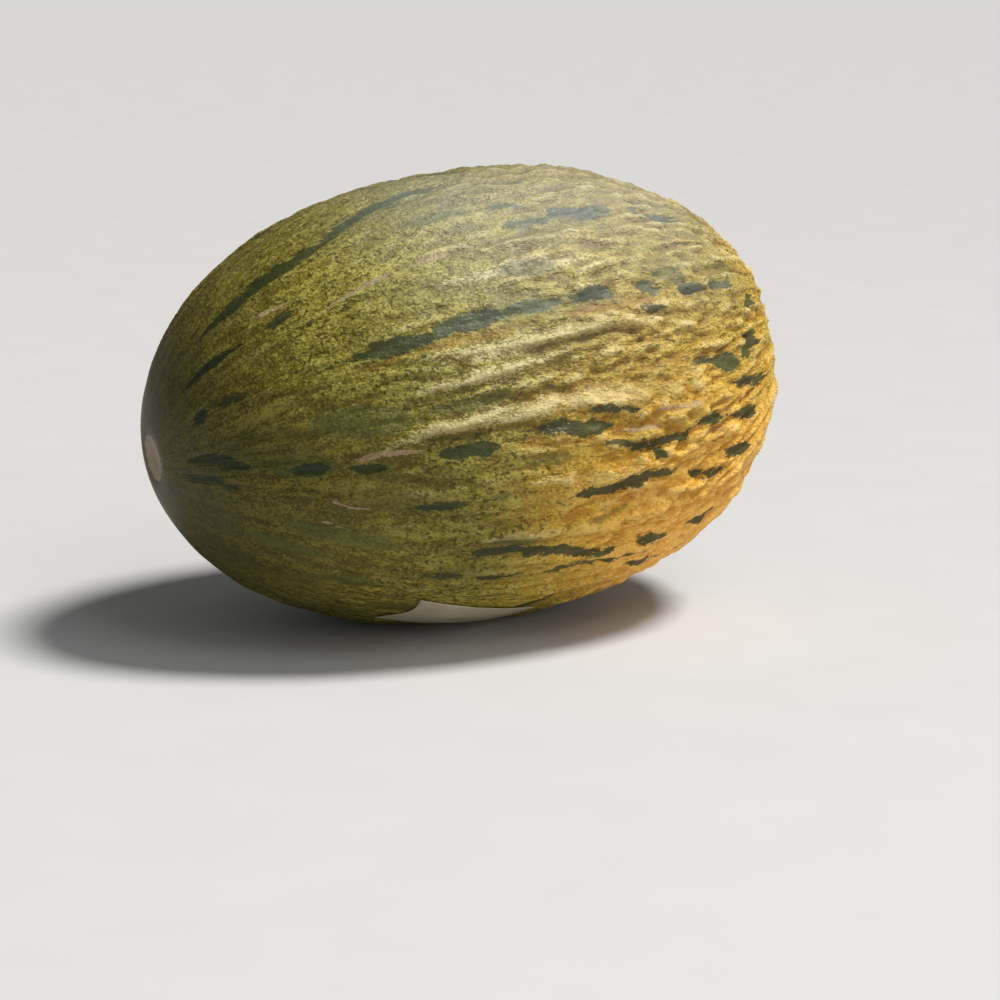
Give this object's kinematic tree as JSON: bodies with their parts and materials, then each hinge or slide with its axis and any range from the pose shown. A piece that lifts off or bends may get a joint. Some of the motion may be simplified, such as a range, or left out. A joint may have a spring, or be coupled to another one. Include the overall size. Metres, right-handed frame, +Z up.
{
  "type": "piel de sapo melon",
  "caption": "Whole toad-skin melon lying on its side: egg-shaped, mottled green and gold wrinkled rind, round tan scar at its narrow end and a blank paper label low on one flank",
  "frame": {"origin": "on the surface that the melon rests on, under the middle of its bounding box", "axes": "+Z up; +X along the melon, from the blossom scar to the stem end; the paper label is on the -Y side"},
  "size_m": [0.2604, 0.1802, 0.1798],
  "materials": {
    "rind": "satin",
    "label_paper": "matte"
  },
  "bodies": {
    "root": {"melon": "rind", "paper_label": "label_paper"}
  },
  "joints": []
}
